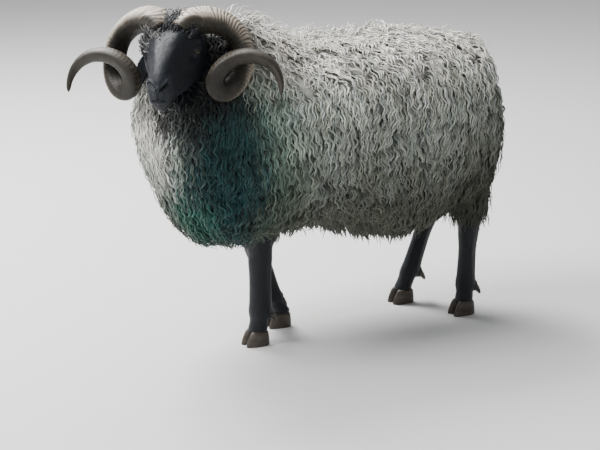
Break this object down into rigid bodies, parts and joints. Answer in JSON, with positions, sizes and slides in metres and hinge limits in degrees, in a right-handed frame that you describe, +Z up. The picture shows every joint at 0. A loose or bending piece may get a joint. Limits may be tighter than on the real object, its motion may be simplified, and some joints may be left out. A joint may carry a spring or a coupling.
{
  "type": "blackface ram",
  "caption": "Horned sheep with a black face and legs and a long wavy off-white fleece, standing still with its head turned to its left; a life-size display model",
  "frame": {"origin": "on the floor, under the middle of the ram's overall length and width", "axes": "+Z up; the ram faces -X and its left side is towards -Y; +X is its length, from horns to tail"},
  "size_m": [1.2504, 0.5084, 0.8992],
  "materials": {
    "wool": "long wavy fleece",
    "hair": "short close hair",
    "horn": "ridged, dull",
    "hoof": "dull",
    "eye": "wet gloss"
  },
  "bodies": {
    "root": {"trunk": "wool", "neck": "wool", "tail": "wool", "head": "hair", "muzzle": "hair", "lower_jaw": "hair", "eye_left": "eye", "eye_right": "eye", "ear_left": "hair", "ear_right": "hair", "horn_left_base": "horn", "horn_left_middle": "horn", "horn_left_curl": "horn", "horn_left_tip": "horn", "horn_right_base": "horn", "horn_right_middle": "horn", "horn_right_curl": "horn", "horn_right_tip": "horn", "leg_front_left": "hair", "leg_front_right": "hair", "leg_hind_left": "hair", "leg_hind_right": "hair", "hoof_front_left_outer": "hoof", "hoof_front_left_inner": "hoof", "dewclaw_front_left_outer": "hoof", "dewclaw_front_left_inner": "hoof", "hoof_front_right_outer": "hoof", "hoof_front_right_inner": "hoof", "dewclaw_front_right_outer": "hoof", "dewclaw_front_right_inner": "hoof", "hoof_hind_left_outer": "hoof", "hoof_hind_left_inner": "hoof", "dewclaw_hind_left_outer": "hoof", "dewclaw_hind_left_inner": "hoof", "hoof_hind_right_outer": "hoof", "hoof_hind_right_inner": "hoof", "dewclaw_hind_right_outer": "hoof", "dewclaw_hind_right_inner": "hoof"}
  },
  "joints": []
}
